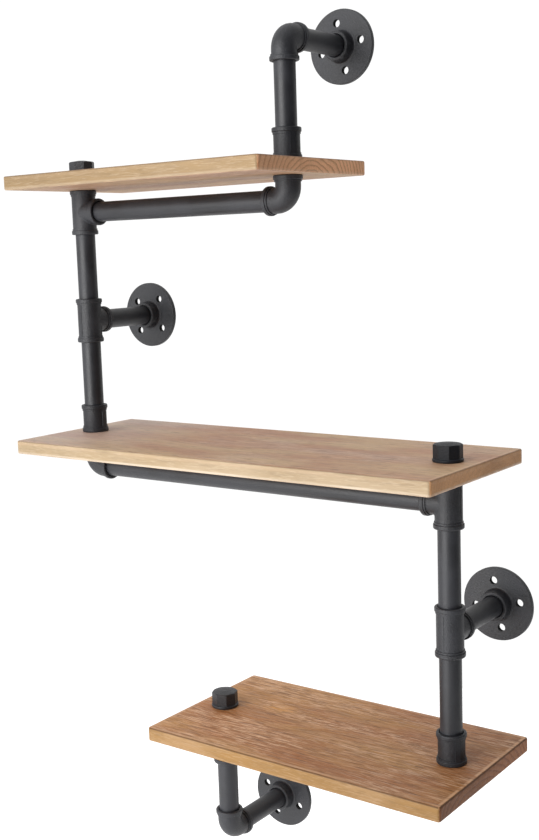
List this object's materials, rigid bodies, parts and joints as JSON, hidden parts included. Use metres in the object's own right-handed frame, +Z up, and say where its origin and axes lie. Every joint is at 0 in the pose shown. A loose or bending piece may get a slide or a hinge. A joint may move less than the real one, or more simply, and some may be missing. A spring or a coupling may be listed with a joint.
{
  "type": "wall shelf with brackets",
  "caption": "Tiered wall shelf: timber boards held by a stepped run of black iron pipe, elbows, tees, couplings and caps, fixed to the wall by round flanges.",
  "frame": {"origin": "centre of the bottom wall flange's back face, on the plane of the wall", "axes": "+Y into the wall, +Z up, +X to the right as seen from the room"},
  "size_m": [0.651, 0.243, 1.127],
  "materials": {
    "black_fitting": "matte black, faintly grainy casting",
    "black_pipe": "matte black powder coat on steel pipe",
    "top_board_wood": "oiled brown softwood, satin",
    "middle_board_wood": "oiled brown softwood, satin",
    "bottom_board_wood": "oiled brown softwood, satin"
  },
  "bodies": {
    "root": {"wall_flange_top": "black_fitting", "wall_flange_left": "black_fitting", "wall_flange_right": "black_fitting", "wall_flange_bottom": "black_fitting", "top_wall_elbow": "black_fitting", "top_shelf_elbow": "black_fitting", "middle_shelf_elbow": "black_fitting", "bottom_shelf_elbow": "black_fitting", "bottom_wall_elbow": "black_fitting", "top_shelf_tee": "black_fitting", "left_wall_tee": "black_fitting", "middle_shelf_tee": "black_fitting", "right_wall_tee": "black_fitting", "bottom_shelf_tee": "black_fitting", "top_coupling": "black_fitting", "middle_coupling": "black_fitting", "bottom_coupling": "black_fitting", "top_cap": "black_fitting", "middle_cap": "black_fitting", "bottom_cap": "black_fitting", "wall_pipe_top": "black_pipe", "wall_pipe_left": "black_pipe", "wall_pipe_right": "black_pipe", "wall_pipe_bottom": "black_pipe", "riser_pipe": "black_pipe", "left_upper_pipe": "black_pipe", "left_lower_pipe": "black_pipe", "right_upper_pipe": "black_pipe", "right_lower_pipe": "black_pipe", "drop_pipe": "black_pipe", "top_cross_pipe": "black_pipe", "middle_cross_pipe": "black_pipe", "bottom_cross_pipe": "black_pipe", "top_coupling_nipple": "black_pipe", "top_cap_nipple": "black_pipe", "middle_coupling_nipple": "black_pipe", "middle_cap_nipple": "black_pipe", "bottom_coupling_nipple": "black_pipe", "bottom_cap_nipple": "black_pipe", "top_board": "top_board_wood", "middle_board": "middle_board_wood", "bottom_board": "bottom_board_wood"}
  },
  "joints": []
}
